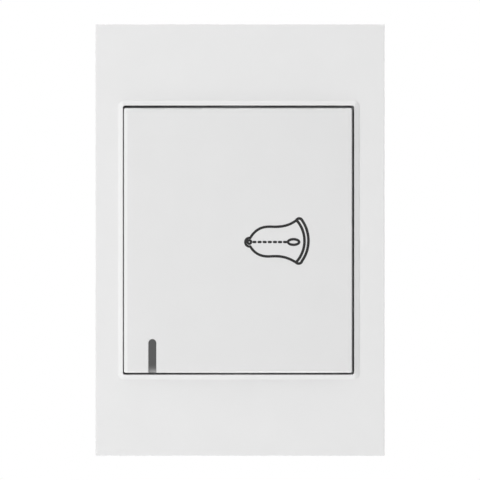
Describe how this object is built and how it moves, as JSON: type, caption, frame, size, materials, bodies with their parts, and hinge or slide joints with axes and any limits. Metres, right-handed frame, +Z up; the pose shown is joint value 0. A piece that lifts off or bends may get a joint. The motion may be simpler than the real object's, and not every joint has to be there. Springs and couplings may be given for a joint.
{
  "type": "doorbell push button",
  "caption": "White flush wall plate with one large hinged push key that carries a bell sign and a narrow smoked indicator window, on a clip-in contact mechanism.",
  "frame": {"origin": "on the wall plane, midway between the two wall screw holes", "axes": "+X to the right as seen from the room, +Y into the wall, +Z up"},
  "size_m": [0.0804, 0.0293, 0.12],
  "materials": {
    "white_plastic": "fine matt moulding texture",
    "smoked_plastic": "smoked, polished",
    "frame_plastic": "moulded, light grey",
    "housing_plastic": "moulded, charcoal",
    "lid_plastic": "moulded, pale grey",
    "plunger_plastic": "natural, low friction",
    "brass": "bright stamped or turned",
    "bronze": "spring temper",
    "contact_metal": "silver alloy",
    "plated_steel": "bright zinc plating",
    "lamp_body": "tinted, diffused",
    "circuit_board": "lacquered glass fibre",
    "component_body": "moulded"
  },
  "bodies": {
    "base": {"cover_plate": "white_plastic", "support_frame": "frame_plastic", "mechanism_base": "housing_plastic", "mechanism_cover": "lid_plastic", "cover_screws": "plated_steel", "return_spring": "plated_steel", "fixed_contact_upper": "brass", "fixed_contact_lower": "brass", "fixed_contact_tips": "contact_metal", "terminal_block_upper": "brass", "terminal_block_lower": "brass", "terminal_screws": "plated_steel", "indicator_led": "lamp_body", "indicator_board": "circuit_board", "indicator_resistor": "component_body", "indicator_diode": "component_body", "lamp_contact_upper": "brass", "lamp_contact_lower": "brass"},
    "key": {"push_key": "white_plastic", "indicator_light_guide": "smoked_plastic"},
    "plunger": {"plunger": "plunger_plastic", "contact_bridge": "bronze", "bridge_tips": "contact_metal", "bridge_retainer": "plated_steel"}
  },
  "joints": [
    {"name": "key_press", "type": "hinge", "parent": "base", "child": "key", "pos_m": [-0.0279, -0.0046, 0], "axis": [0, 0, 1], "range_deg": [0, 2.8], "stiffness_Nm_per_rad": 0.8, "springref_deg": -1.15},
    {"name": "plunger_slide", "type": "slide", "parent": "base", "child": "plunger", "axis": [0, 1, 0], "range_m": [0, 0.0019], "deforming": ["return_spring"]}
  ],
  "couplings": [
    {"joint": "plunger_slide", "follows": "key_press", "m_per_rad": 0.0359}
  ]
}
